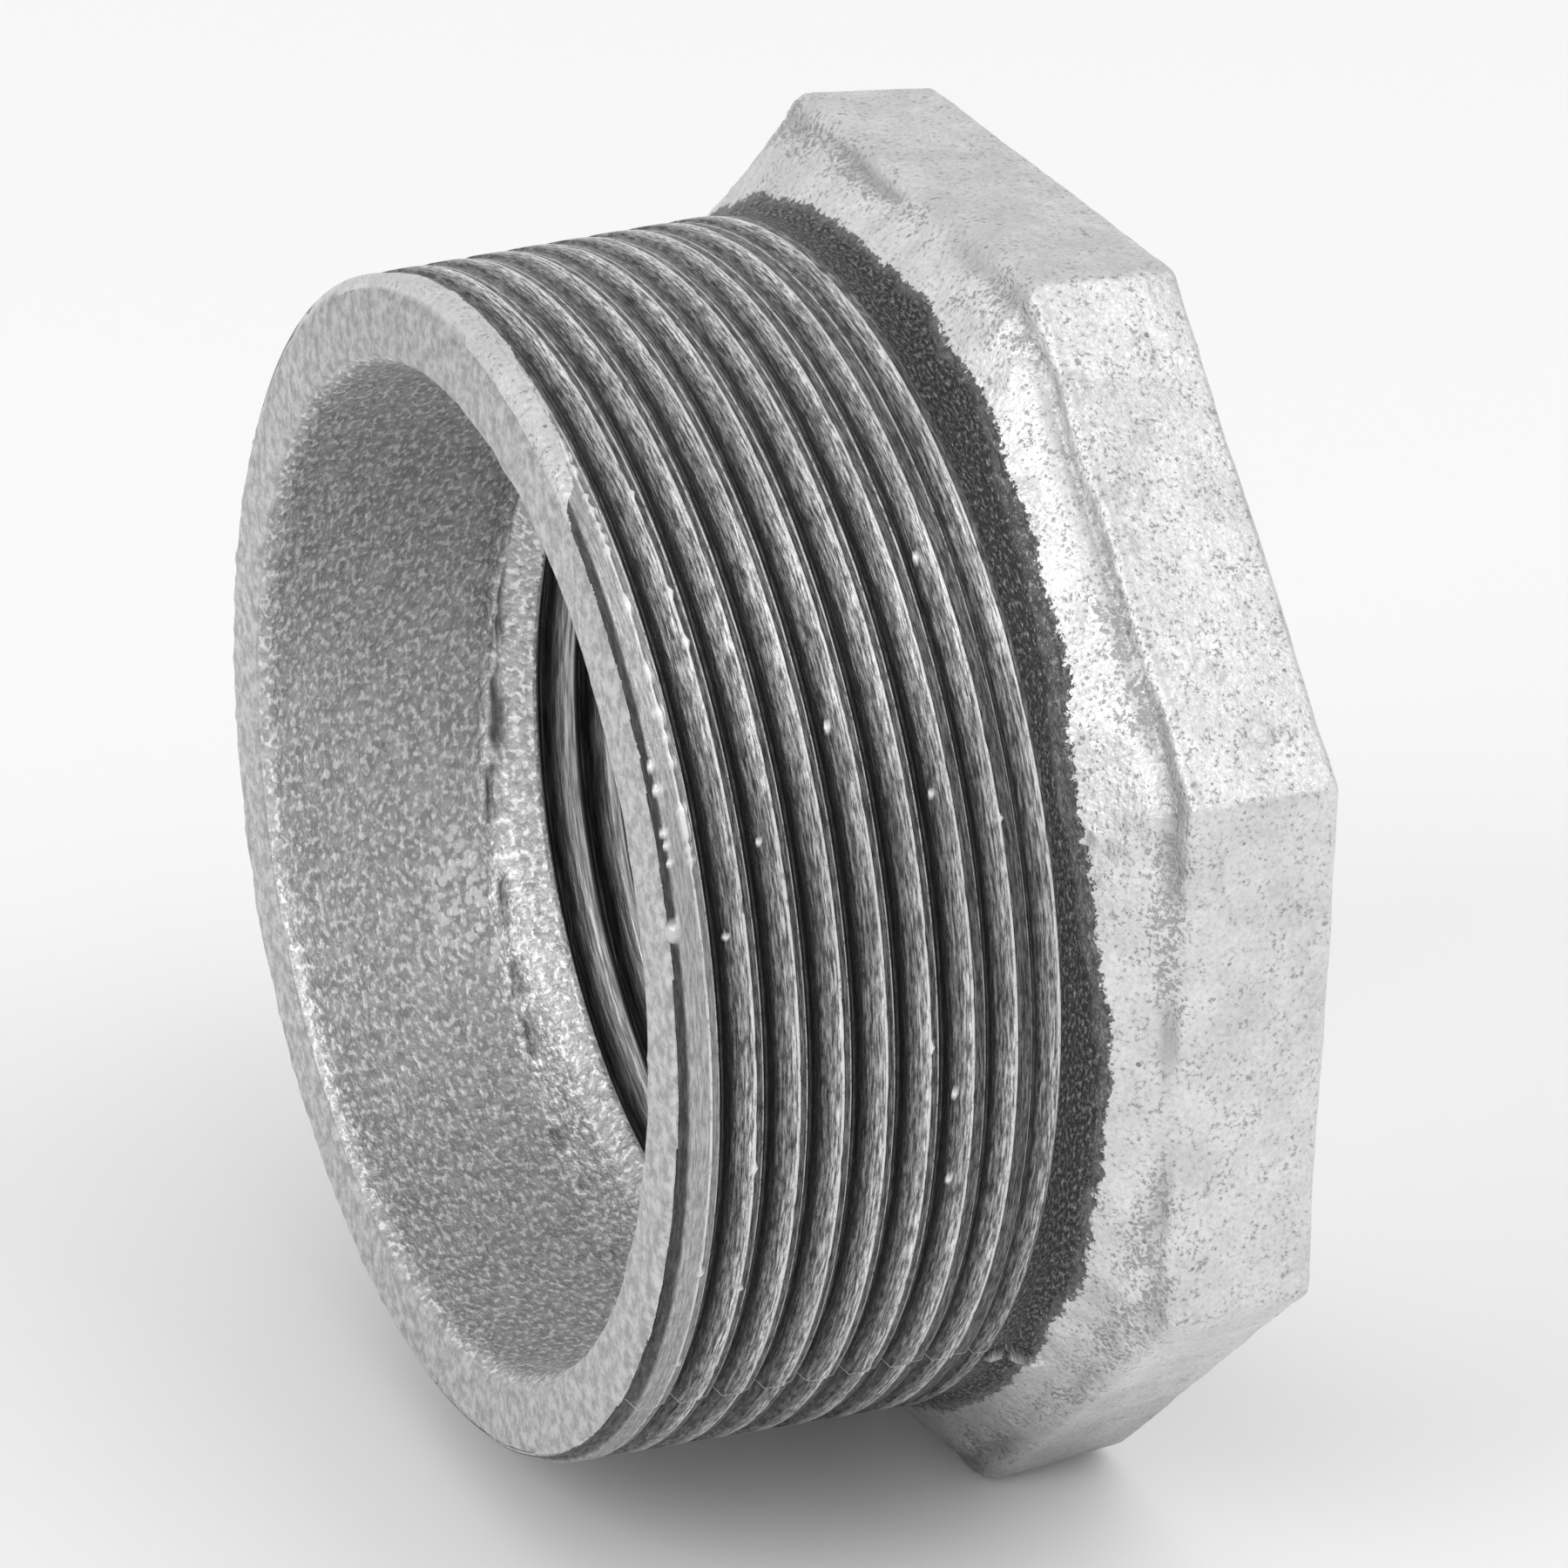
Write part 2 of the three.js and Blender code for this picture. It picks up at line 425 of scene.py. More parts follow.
def helical_faces(zone, low_edge, high_edge):
    """Faces of a helical zone, from the fixed row at its low-z end to the one at its high-z end."""
    index = zone.index
    following = np.full(index.shape, -1)
    following[:, :-1] = index[:, 1:]
    following[: -zone.helical, -1] = index[zone.helical :, 0]
    whole = (index[:-1] >= 0) & (index[1:] >= 0) & (following[:-1] >= 0) & (following[1:] >= 0)
    made = quads(index[:-1][whole], index[1:][whole], following[1:][whole], following[:-1][whole]).tolist()
    next_low = np.roll(low_edge, -1)
    next_high = np.roll(high_edge, -1)
    for c in range(index.shape[1]):
        here = np.flatnonzero(index[:, c] >= 0)
        there = np.flatnonzero(following[:, c] >= 0)
        both = max(here[0], there[0])
        left = index[here[0] : both + 1, c]
        right = following[there[0] : both + 1, c][::-1]
        made.append([low_edge[c], *left, *right, next_low[c]])
        both = min(here[-1], there[-1])
        left = index[both : here[-1] + 1, c]
        right = following[both : there[-1] + 1, c][::-1]
        made.append([high_edge[c], next_high[c], *right, *left])
    return made


def ledge_tilt(angle):
    """How far the cavity's floor is off square, along the axis."""
    return LEDGE_TILT * np.cos(angle - LEDGE_TILT_ANGLE) + LEDGE_SHIFT


def build_surface():
    """The zones, how many vertices they hold, and the faces of the closed surface."""
    corner_radii = 0.35 + 4.5 * bell(around(ANGLES, ROUND_CORNER_ANGLE), 15)
    mouth = fixed_zone(section_rows(mouth_corners(), MOUTH_SPACING), "mouth", corner_radii)
    head = fixed_zone(section_rows(head_corners(), HEAD_SPACING), "head", corner_radii)
    sloping = smoothstep(FEMALE_HIGH, CAVITY_FLOOR, mouth.z) * smoothstep(27, CAVITY_FLOOR + 0.5, mouth.z)
    mouth.z = mouth.z + sloping * ledge_tilt(ANGLES)[None, :]
    from_crest = nearest_crest(MALE_HIGH - FIRST_CREST - PITCH * (ANGLES - SEAM_ANGLE) / TURN)
    mouth.radius[0] = male_thread(MALE_HIGH + 0 * ANGLES, from_crest, ANGLES)[0]
    male = helical_zone(male_thread, FIRST_CREST, (MALE_LOW, MALE_HIGH), MALE_OFFSETS, "male", MALE_SPARE)
    female = helical_zone(
        female_thread, FIRST_INNER_CREST, (FEMALE_LOW, FEMALE_HIGH), FEMALE_OFFSETS, "female", FEMALE_SPARE
    )
    zones = [mouth, female, head, male]
    total = index_zones(zones)
    faces = fixed_faces(mouth.index) + fixed_faces(head.index)
    faces += helical_faces(male, head.index[-1], mouth.index[0])
    outward = [face[::-1] for face in faces]
    return zones, total, outward + helical_faces(female, head.index[0], mouth.index[-1])


def gather(zones, total, read):
    """One number for each vertex, from an array of the zone's shape or a plain number, and 0 for none."""
    values = np.zeros(total)
    for zone in zones:
        found = read(zone)
        if found is not None:
            values[zone.index[zone.present]] = (found + 0 * zone.radius)[zone.present]
    return values


# ---------------------------------------------------------------- relief of the cast and cut surfaces


KINDS = {"mouth": 0, "female": 1, "head": 2, "male": 3}


class Skin:
    """The casting's vertices: where each one is on the plain section, and which surface it is on."""

    def __init__(self, points, radius, z, angle, kinds, share, edge):
        self.points = points
        self.radius = radius
        self.z = z
        self.angle = angle
        self.share = share
        self.edge = edge
        self.head = kinds == KINDS["head"]
        self.male = kinds == KINDS["male"]
        self.female = kinds == KINDS["female"]
        self.outside = self.male | self.head
        mouth = kinds == KINDS["mouth"]
        self.cavity = mouth & (radius < RIM_INNER_RADIUS)
        self.rim = mouth & ~self.cavity

    def noise(self, scale, seed):
        return noise(self.points, scale, seed)

    def fractal(self, scale, seed, octaves):
        return fractal(self.points, scale, seed, octaves)

    def near(self, angle, spread):
        """1 at an angle round the axis, fading out over spread, both in degrees."""
        return bell(around(self.angle, angle), spread)

    def spots(self, where, count, seed, smallest, largest):
        """The distance to the nearest of some random spots, as a share of that spot's radius."""
        rng = np.random.default_rng(seed)
        nearest = np.full(len(self.points), np.inf)
        for spot in rng.choice(np.flatnonzero(where), count, replace=False):
            away = np.linalg.norm(self.points - self.points[spot], axis=1)
            nearest = np.minimum(nearest, away / rng.uniform(smallest, largest))
        return nearest


def cast_head(skin):
    """Waves all over, lumps and a ridge on the shoulder, a broken seam beside the flats, and blisters."""
    z = skin.z
    waves = 0.07 * skin.noise(7.0, 1) + 0.05 * skin.fractal(2.6, 5, 3)
    lumps = np.maximum(skin.noise(1.3, 11) + 0.5 * skin.noise(4.0, 12) - 0.3, 0)
    height = skin.head * waves + 0.3 * shoulder(skin) * lumps
    seam_line = SEAM_Z + 0.3 * skin.noise(6.0, 13)
    ridge_parts = smoothstep(-0.4, 0.2, skin.noise(5.0, 15))
    ridge = skin.head * bell(z - seam_line - 0.2, 0.9) * ridge_parts
    height += 0.19 * ridge * skin.fractal(0.9, 16, 2)
    seam = skin.head * bell(z - seam_line, 0.33) * smoothstep(-0.25, 0.25, skin.noise(8.0, 14))
    height -= 0.4 * seam
    flat_middle = (np.abs(around(skin.angle, BLISTER_ANGLE)) < 20) & (np.abs(z - 4.5) < 3)
    from_blister = skin.spots(skin.head & flat_middle, 14, 93, 0.35, 0.7)
    ring = bell(from_blister - 1, 0.3)
    height += 0.05 * smoothstep(1.0, 0.6, from_blister) - 0.04 * ring
    # Painted shade: the zinc on the head's underside is painted darker.
    underside_shade = skin.head * smoothstep(-0.5, -1.0, np.cos(skin.angle))
    return height, {"seam": seam, "ridge": ridge, "blister": ring, "underside_shade": underside_shade}


def cast_mouth(skin):
    """Hammered cavity and rough rim, a crack-like fold above the ledge, and a painted highlight in the
    cavity.
    """
    z = skin.z
    hammered = 0.03 * skin.noise(4.0, 21) + 0.03 * skin.fractal(1.3, 25, 2)
    rough_edge = smoothstep(28.2, RIM_RADIUS, skin.radius) + smoothstep(26.0, RIM_INNER_RADIUS, skin.radius)
    rough = 0.04 * skin.noise(2.2, 31) + 0.09 * rough_edge * skin.fractal(0.9, 35, 2)
    height = skin.cavity * hammered + skin.rim * rough
    fold = CAVITY_FLOOR - 0.1 + 0.5 * skin.noise(5.0, 71) + ledge_tilt(skin.angle)
    fold_parts = skin.noise(2.5, 72) + 0.3 * np.cos(skin.angle - np.radians(70))
    crack = skin.cavity * bell(z - fold, 0.22) * smoothstep(-0.1, 0.3, fold_parts)
    height += 0.25 * crack
    # Painted highlight: a bright patch on the cavity's wall stands in for the reflection of its lit inside.
    patch = skin.near(HIGHLIGHT_ANGLE, 9) * bell(z - HIGHLIGHT_Z, 1.8)
    patch_edge = 0.35 * skin.noise(0.8, 73) + 0.2 * skin.noise(2.5, 74)
    painted_highlight = skin.cavity * smoothstep(0.25, 0.55, patch + patch_edge)
    inner = np.where(skin.cavity | skin.female, 1.0, 0.0)
    return height, {"painted_highlight": painted_highlight, "crack": crack, "inner": inner, "rim": np.where(skin.rim, 1.0, 0.0)}


def die_marks(skin):
    """The die's last bite, a notch across the neck with a burr below, and a curl of swarf on the rim."""
    z = skin.z
    bite = np.radians(around(skin.angle, BITE_ANGLE)) * NECK_RADIUS + 0.25 * (z - 11.3)
    across_neck = smoothstep(9.9, 10.5, z) * smoothstep(12.9, 12.3, z) * skin.outside
    height = -0.45 * bell(bite, 0.3) * across_neck
    burr = bell(bite + 0.55, 0.22) * across_neck * smoothstep(-0.3, 0.1, skin.noise(0.7, 81))
    curl_length = np.radians(around(skin.angle, CURL_ANGLE)) * RIM_RADIUS / 0.55
    curl_width = (z - LENGTH + 0.35) / 0.22
    curl = smoothstep(1.2, 0.6, np.hypot(curl_length, curl_width)) * skin.outside
    height += 0.35 * burr + 0.45 * curl
    return height, {"burr": np.maximum(burr, curl)}


def cut_marks(skin):
    """Nicks in the crests' edges, a step where the die stopped, and beads of zinc."""
    nicks = smoothstep(0.25, 0.6, skin.noise(0.9, 51))
    height = -0.05 * skin.male * nicks * (skin.share < 0.3) * smoothstep(0.3, 0.6, skin.edge)
    past_stop = np.degrees(skin.angle - SEAM_ANGLE) % 360
    height -= 0.1 * skin.male * smoothstep(340, 360, past_stop) * smoothstep(12.5, 13.5, skin.z)
    rise = PITCH * np.radians(around(skin.angle, FIRST_CREST_ANGLE)) / TURN
    first_crest = smoothstep(-0.1, 0.1, skin.z - rise - FIRST_CREST_Z) * skin.male
    crest_edge = skin.male & (skin.edge > 0.7) & (skin.share < 0.2)
    facing_side = np.abs(around(skin.angle, -75)) < 45
    facing_up = np.abs(around(skin.angle, -30)) < 35
    few = skin.spots(crest_edge & facing_side, 16, 91, 0.12, 0.24)
    many = skin.spots(crest_edge & (first_crest > 0.5) & facing_up, 50, 92, 0.15, 0.35)
    from_bead = np.minimum(few, many)
    height += 0.16 * np.sqrt(np.maximum(1 - from_bead**2, 0))
    # Painted light: the threads are lighter at the top, where the light falls, and also about the die's
    # stop.
    top_light_and_stop = off_centre(skin.angle) + 0.4 * skin.near(-130, 25)
    return height, {"first_crest": first_crest, "top_light_and_stop": top_light_and_stop, "bead": smoothstep(1.0, 0.7, from_bead)}


def where_cut(skin):
    """Where the die and the tap took the zinc off, the bare neck, and the collar beside the shoulder."""
    z = skin.z
    wander = 0.3 * skin.noise(5.0, 61) + 0.15 * skin.noise(1.2, 62)
    from_zinc = z - (ZINC_EDGE_Z + 0.75 * skin.near(-68, 15) + wander)
    uncut = 1.6 * smoothstep(0.1, 0.8, off_centre(skin.angle) + 0.15 * skin.noise(2.5, 42))
    from_rim = 3 * (LENGTH - 0.1 + 0.1 * skin.fractal(2.0, 41, 3) - uncut - z)
    cut = np.where(skin.outside, np.minimum(from_zinc, from_rim), -1.0)
    cut = np.where(skin.female, np.minimum(z - 0.1, FEMALE_THREAD_END + 0.35 - z), cut)
    cut[skin.head & (z < 2) & (skin.radius < 24.6)] = 0.3
    neck = smoothstep(13.1, 12.8, z) * skin.outside
    collar_width = 0.3 + 0.5 * skin.near(-60, 25)
    fillet = smoothstep(0.1, -0.1, from_zinc - collar_width + 0.15 * skin.noise(1.5, 63)) * skin.outside
    return {"cut": cut, "neck": neck, "fillet": fillet, "thread": skin.male * (1 - neck)}


def shoulder(skin):
    """1 on the slope between the head's flats and the neck."""
    return skin.head * smoothstep(7.9, 8.4, skin.z) * smoothstep(11.2, 10.6, skin.z)


def painted_light_and_tone(skin):
    """Painted light on the shoulder and low in the cavity, painted shade high in it; the rim is darker on
    top.
    """
    light_and_tone = 1 + 0.13 * shoulder(skin) * skin.near(-25, 50)
    light_and_tone += skin.cavity * (0.15 * skin.near(118, 22) - 0.2 * skin.near(65, 25))
    return light_and_tone - 0.15 * skin.rim * skin.near(15, 40)


def relief(skin):
    """How far each vertex stands proud of the plain section, in mm, and what the material reads there."""
    height = np.zeros(len(skin.points))
    fields = {"share": skin.share, "light_and_tone": painted_light_and_tone(skin), **where_cut(skin)}
    for part in (cast_head, cast_mouth, die_marks, cut_marks):
        raised, found = part(skin)
        height += raised
        fields.update(found)
    return height, fields


def build_casting():
    """The casting as one mesh object, with its relief applied and the material's fields as attributes."""
    zones, total, faces = build_surface()
    angle = gather(zones, total, lambda q: ANGLES[None, :])
    radius = gather(zones, total, lambda q: q.radius)
    z = gather(zones, total, lambda q: q.z)
    kinds = gather(zones, total, lambda q: KINDS[q.kind])
    share = gather(zones, total, lambda q: q.fields.get("share"))
    edge = gather(zones, total, lambda q: q.fields.get("edge"))
    points = np.stack([LENGTH / 2 - z, radius * np.sin(angle), radius * np.cos(angle)], axis=1)
    mesh = bpy.data.meshes.new("casting")
    mesh.from_pydata(points.tolist(), [], faces)
    mesh.validate()
    normals = np.empty(len(points) * 3, np.float32)
    mesh.vertex_normals.foreach_get("vector", normals)
    normals = normals.reshape(-1, 3)
    height, fields = relief(Skin(points, radius, z, angle, kinds, share, edge))
    points = points + normals * height[:, None]
    mesh.vertices.foreach_set("co", (points * MM).astype(np.float32).ravel())
    for name, values in fields.items():
        attribute = mesh.attributes.new(name, "FLOAT", "POINT")
        attribute.data.foreach_set("value", values.astype(np.float32))
    mesh.polygons.foreach_set("use_smooth", np.ones(len(mesh.polygons), bool))
    mesh.update()
    piece = bpy.data.objects.new("bushing", mesh)
    bpy.context.scene.collection.objects.link(piece)
    return piece


casting = build_casting()
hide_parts("bushing_casting")
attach(casting, "root")


# ---------------------------------------------------------------- material


class Nodes:
    """Short calls for a material's nodes: each input is a number or another node's output."""

    def __init__(self, material):
        self.tree = material.node_tree

    def add(self, kind, inputs, output=0, **settings):
        node = self.tree.nodes.new(kind)
        for name, value in settings.items():
            setattr(node, name, value)
        for name, value in inputs.items():
            if isinstance(value, bpy.types.NodeSocket):
                self.tree.links.new(value, node.inputs[name])
            else:
                node.inputs[name].default_value = value
        return node.outputs[output]

    def math(self, operation, *values):
        return self.add("ShaderNodeMath", dict(enumerate(values)), operation=operation)

    def product(self, first, *others):
        return reduce(lambda a, b: self.math("MULTIPLY", a, b), others, first)

    def total(self, first, *others):
        return reduce(lambda a, b: self.math("ADD", a, b), others, first)

    def less(self, first, *others):
        return reduce(lambda a, b: self.math("SUBTRACT", a, b), others, first)

    def ramp(self, value, low, high, start=0.0, end=1.0):
        """start at low and under, end at high and over, smooth between."""
        inputs = {"Value": value, "From Min": low, "From Max": high, "To Min": start, "To Max": end}
        return self.add("ShaderNodeMapRange", inputs, interpolation_type="SMOOTHSTEP")

    def mix(self, share, a, b):
        """a where share is 0 and b where it is 1, for numbers."""
        return self.add("ShaderNodeMix", {"Factor": share, "A": a, "B": b})

    def noise(self, vector, scale, detail=2.0, roughness=0.5):
        inputs = {"Vector": vector, "Scale": scale, "Detail": detail, "Roughness": roughness}
        return self.add("ShaderNodeTexNoise", inputs)

    def cells(self, vector, scale):
        return self.add("ShaderNodeTexVoronoi", {"Vector": vector, "Scale": scale})

    def field(self, name):
        return self.add("ShaderNodeAttribute", {}, output="Fac", attribute_name=name)


class IronNodes(Nodes):
    """The casting's coordinates in mm, those that follow the die's cut, and what both skins share."""

    def __init__(self, material):
        super().__init__(material)
        place = self.add("ShaderNodeTexCoord", {}, output="Object")
        self.mm = self.add("ShaderNodeVectorMath", {0: place, "Scale": 1 / MM}, operation="SCALE")
        split = self.tree.nodes.new("ShaderNodeSeparateXYZ")
        self.tree.links.new(self.mm, split.inputs[0])
        self.x, y, z = split.outputs
        # The angle is measured so that it jumps where the die stopped, and across follows the helix.
        turn = -SEAM_ANGLE - np.pi
        sine = self.total(self.product(y, np.cos(turn)), self.product(z, np.sin(turn)))
        cosine = self.less(self.product(z, np.cos(turn)), self.product(y, np.sin(turn)))
        self.angle = self.math("ARCTAN2", sine, cosine)
        self.across = self.total(self.x, self.product(self.angle, PITCH / TURN))
        self.along = self.product(self.angle, NECK_RADIUS)
        self.wavy = self.total(self.across, self.product(self.noise(self.mm, 0.5), 0.08))
        self.streaks = self.noise(self.tooled(9.0, 0.9), 1.0, 3.0, roughness=0.75)
        self.inner = self.field("inner")

    def tooled(self, across, along):
        """Texture space with so many features per mm across the cut and along it."""
        scaled = {0: self.product(self.wavy, across), 1: self.product(self.along, along)}
        return self.add("ShaderNodeCombineXYZ", scaled)


def zinc_skin(n):
    """The zinc's grey, roughness, and relief finer than the mesh, in mm."""
    peel = n.noise(n.mm, 2.0)
    dash_space = n.add("ShaderNodeCombineXYZ", {0: n.product(n.x, 3.2), 1: n.product(n.along, 1.7)})
    dashes = n.noise(dash_space, 1.0)
    grain = n.noise(n.mm, 6.0)
    mottle = n.noise(n.mm, 0.35, 4.0, roughness=0.65)
    flecks = n.noise(n.mm, 4.0, 3.0, roughness=0.7)
    clouds = n.noise(n.mm, 0.8, 3.0, roughness=0.7)
    dull = n.ramp(n.noise(n.mm, 1.3, 4.0, roughness=0.7), 0.35, 0.65)
    pits = n.product(n.ramp(n.cells(n.mm, 0.8), 0.12, 0.05), n.ramp(clouds, 0.5, 0.6))
    soil = n.less(n.product(clouds, 0.5), n.product(n.field("ridge"), 0.12))
    stains = n.ramp(n.total(flecks, soil), 0.66, 0.54)
    rim = n.field("rim")

    # The outside, then the rim, then the cavity, each over the last.
    grey = n.mix(n.ramp(mottle, 0.3, 0.7), 0.63, 0.76)
    grey = n.product(grey, n.ramp(flecks, 0.3, 0.7, 0.9, 1.1))
    grey = n.mix(n.product(stains, 0.75), grey, 0.3)
    grey = n.mix(n.product(pits, 0.8), grey, 0.2)
    grey = n.mix(n.product(n.field("seam"), 0.8), grey, 0.36)
    grey = n.mix(n.product(n.field("blister"), 0.5), grey, 0.36)
    grey = n.mix(rim, grey, n.mix(dull, 0.38, 0.66))
    grey = n.mix(n.inner, grey, n.mix(n.ramp(dashes, 0.48, 0.66), n.mix(dull, 0.38, 0.58), 0.88))
    # Painted light and shade on the zinc: darker on the head's underside, lighter on the shoulder and low in
    # the cavity, darker high in the cavity; the rim is also darker on top.
    grey = n.product(grey, n.less(1.0, n.product(n.field("underside_shade"), 0.4)), n.field("light_and_tone"))
    # Painted highlight: bright cells in the cavity's patch.
    painted_glints = n.ramp(n.cells(n.tooled(2.0, 1.3), 1.0), 0.55, 0.4)
    grey = n.mix(n.product(n.field("painted_highlight"), painted_glints), grey, 1.0)
    grey = n.mix(n.field("crack"), grey, 0.12)

    roughness = n.mix(n.ramp(grain, 0.3, 0.7), 0.42, 0.56)
    relief = n.total(
        n.product(peel, n.mix(n.math("MAXIMUM", n.inner, rim), 0.1, 0.04)),
        n.product(dashes, n.product(n.inner, 0.13)),
        n.product(grain, 0.03),
    )
    relief = n.less(relief, n.product(stains, 0.02), n.product(pits, 0.08))
    return grey, roughness, relief


def edge_highlights_and_burr(n, from_edge, share):
    """Painted highlights on the crests' and benches' edges, partly burr, and the bright burr at the die's
    stop.
    """
    run_out = n.product(n.total(n.x, FULL_DEPTH_END - LENGTH / 2), DEPTH_LOSS)
    depth = n.math("MINIMUM", n.less(MALE_DEPTH, run_out), MALE_DEPTH)
    at_full_depth = CREST_FLAT + ROOT_FLAT - BENCH_DEPTH * FLANK_SLOPE
    bench_edge = n.total(n.product(depth, 2 * FLANK_SLOPE), at_full_depth)
    from_bench = n.math("ABSOLUTE", n.less(from_edge, bench_edge))
    to_seam = n.less(np.pi, n.math("ABSOLUTE", n.angle))
    broken = n.ramp(n.noise(n.tooled(3.0, 1.6), 1.0, 3.0, roughness=0.7), 0.36, 0.5, 0.25, 1.0)
    lip = n.ramp(from_edge, 0.17, 0.09)
    line = n.product(n.ramp(from_bench, 0.06, 0.03), n.ramp(share, 0.1, 0.16))
    stop = n.ramp(to_seam, 0.1 / NECK_RADIUS, 0.04 / NECK_RADIUS)
    # Painted highlights along the edges of the crests and the benches.
    bright = n.math("MAXIMUM", n.product(lip, 0.95), n.product(line, 0.7))
    return n.math("MAXIMUM", n.product(bright, broken), n.product(stop, 0.8))


def cut_skin(n, neck):
    """The cut iron's grey, roughness, and relief finer than the mesh, in mm."""
    scores = n.noise(n.tooled(7.0, 0.22), 1.0, roughness=0.6)
    specks = n.noise(n.mm, 7.0, roughness=0.6)
    scales = n.ramp(n.noise(n.tooled(8.0, 2.6), 1.0, 3.0, roughness=0.75), 0.42, 0.64, 0.04, 0.3)
    share = n.field("share")
    top_light_and_stop = n.field("top_light_and_stop")
    # How far towards the rim of a crest's neck-side edge.
    first_edge = (LENGTH + CREST_FLAT - PITCH) / 2 - FIRST_CREST
    from_edge = n.math("WRAP", n.less(first_edge, n.across), PITCH, 0.0)

    # Painted light: crests and grooves are lighter at the top, where the light falls, and about the die's
    # stop.
    crest = n.product(
        n.ramp(from_edge, CREST_FLAT, 0.0, 0.11, 0.38),
        n.mix(top_light_and_stop, 1.0, 1.5),
        n.ramp(n.streaks, 0.38, 0.64, 0.35, 1.85),
        n.ramp(scores, 0.35, 0.65, 0.6, 1.5),
    )
    crest = n.mix(n.field("first_crest"), crest, n.ramp(n.streaks, 0.35, 0.65, 0.28, 0.52))
    groove = n.product(n.ramp(n.streaks, 0.4, 0.65, 0.045, 0.09), n.mix(top_light_and_stop, 1.0, 2.5))
    # Painted shade: the inner thread is painted darker towards its roots.
    tapped = n.product(n.ramp(share, 0.1, 0.8, 0.4, 0.08), n.ramp(scores, 0.35, 0.65, 0.5, 1.5))
    # Painted shade: the outer thread is painted darker from its crests down into its grooves.
    grey = n.mix(n.ramp(share, 0.02, 0.4), crest, groove)
    grey = n.mix(n.inner, grey, tapped)
    # Painted highlights along the outer thread's edges, and the bright burr at the die's stop.
    grey = n.mix(n.product(edge_highlights_and_burr(n, from_edge, share), n.field("thread")), grey, 0.78)
    grey = n.mix(neck, grey, scales)
    collar = n.ramp(n.noise(n.tooled(4.0, 1.5), 1.0, 3.0, roughness=0.7), 0.35, 0.65, 0.14, 0.3)
    grey = n.mix(n.field("fillet"), grey, collar)
    grey = n.mix(n.field("burr"), grey, 0.6)
    grey = n.mix(n.field("bead"), grey, 0.85)

    roughness = n.mix(n.ramp(n.streaks, 0.3, 0.7), 0.5, 0.34)
    relief = n.total(
        n.product(n.streaks, 0.03),
        n.product(scores, 0.05),
        n.product(specks, 0.02),
        n.product(neck, n.product(scales, 0.3)),
    )
    return grey, roughness, relief


def galvanised_iron():
    """Zinc, and bare iron where it was cut off, with a ragged edge between them."""
    material = bpy.data.materials.new("galvanised_iron")
    material.use_nodes = True
    n = IronNodes(material)
    shader = material.node_tree.nodes["Principled BSDF"]
    ragged = n.total(n.noise(n.mm, 3.0, 3.0, roughness=0.7), -0.5)
    cut = n.ramp(n.total(n.field("cut"), ragged), -0.04, 0.04)
    zinc_grey, zinc_roughness, zinc_relief = zinc_skin(n)
    cut_grey, cut_roughness, cut_relief = cut_skin(n, n.product(cut, n.field("neck")))
    grey = n.mix(cut, zinc_grey, cut_grey)
    colour = n.add("ShaderNodeCombineColor", {0: grey, 1: grey, 2: n.product(grey, BLUENESS)})
    height = n.total(n.mix(cut, zinc_relief, cut_relief), n.mix(cut, ZINC_THICKNESS, 0.0))
    bump = n.add("ShaderNodeBump", {"Height": height, "Distance": MM, "Strength": 1.0}, output="Normal")
    shader.inputs["Metallic"].default_value = 0.85
    n.tree.links.new(colour, shader.inputs["Base Color"])
    n.tree.links.new(n.mix(cut, zinc_roughness, cut_roughness), shader.inputs["Roughness"])
    n.tree.links.new(bump, shader.inputs["Normal"])
    return material


casting.data.materials.append(galvanised_iron())


# ---------------------------------------------------------------- floor, light and camera


def area_light(name, location, size, power):
    """A square light, size metres across and of so many watts, that faces the part."""
    data = bpy.data.lights.new(name, "AREA")
    data.size = size
    data.energy = power
    light = bpy.data.objects.new(name, data)
    bpy.context.scene.collection.objects.link(light)
    light.location = location
    light.rotation_euler = (-Vector(location)).to_track_quat("-Z", "Y").to_euler()


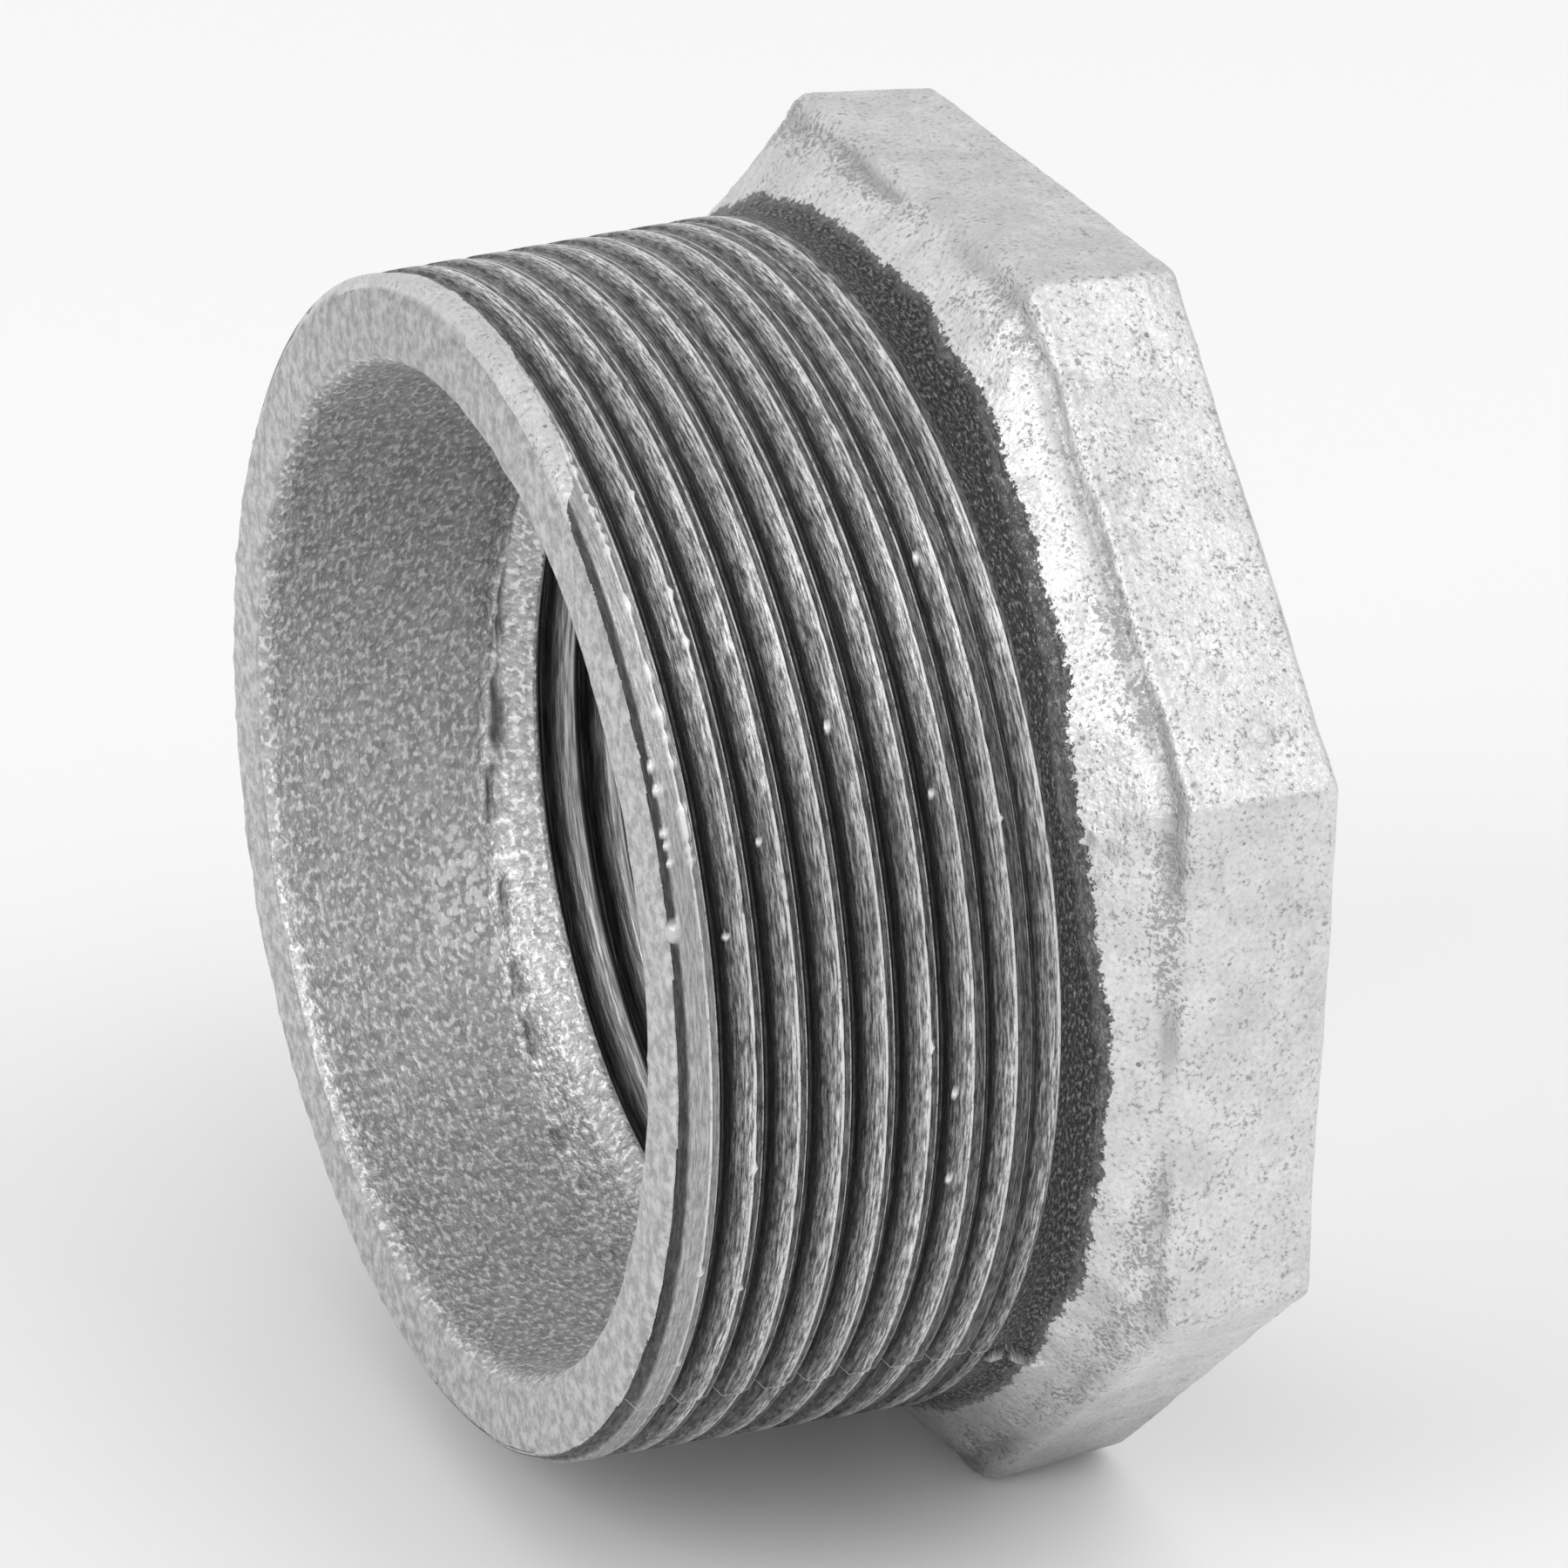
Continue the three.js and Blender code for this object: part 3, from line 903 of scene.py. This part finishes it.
def studio():
    """Pale floor under the part, white surroundings, and two soft lights."""
    bpy.ops.mesh.primitive_plane_add(size=6, location=(0, 0, -ACROSS_FLATS / 2 * MM))
    floor = bpy.context.object
    floor.name = "floor"
    paper = bpy.data.materials.new("paper")
    paper.use_nodes = True
    shader = paper.node_tree.nodes["Principled BSDF"]
    shader.inputs["Base Color"].default_value = (0.96, 0.96, 0.96, 1)
    shader.inputs["Roughness"].default_value = 0.9
    floor.data.materials.append(paper)
    world = bpy.data.worlds.new("studio")
    bpy.context.scene.world = world
    world.use_nodes = True
    background = world.node_tree.nodes["Background"]
    background.inputs["Color"].default_value = (1, 1, 1, 1)
    background.inputs["Strength"].default_value = 0.8
    area_light("key", (0.38, -0.5, 0.9), 0.6, 1.8)
    area_light("left", (-0.79, -0.25, 0.59), 0.45, 2.2)


# Camera: where it stands round the part, what it aims at in mm, its roll, and its lens and sensor in mm.
CAMERA_AZIMUTH = np.radians(-24.63)
CAMERA_ELEVATION = np.radians(25.54)
CAMERA_DISTANCE = 387.0
CAMERA_AIM = (2.41, -0.19, 1.79)
CAMERA_ROLL = np.radians(1.64)
CAMERA_LENS = 177.05
SENSOR_WIDTH = 36


def photo_camera():
    """The camera, which turns about the part's centre and aims beside it."""
    data = bpy.data.cameras.new("camera")
    data.lens = CAMERA_LENS
    data.sensor_width = SENSOR_WIDTH
    camera = bpy.data.objects.new("camera", data)
    bpy.context.scene.collection.objects.link(camera)
    flat = np.cos(CAMERA_ELEVATION)
    away = (np.sin(CAMERA_AZIMUTH) * flat, -np.cos(CAMERA_AZIMUTH) * flat, np.sin(CAMERA_ELEVATION))
    camera.location = Vector(away) * CAMERA_DISTANCE * MM
    look = (Vector(CAMERA_AIM) * MM - camera.location).to_track_quat("-Z", "Y")
    rolled = look.to_matrix() @ Matrix.Rotation(CAMERA_ROLL, 3, "Z")
    camera.rotation_mode = "QUATERNION"
    camera.rotation_quaternion = rolled.to_quaternion()
    bpy.context.scene.camera = camera


studio()
photo_camera()
bpy.context.scene.view_settings.view_transform = "Standard"
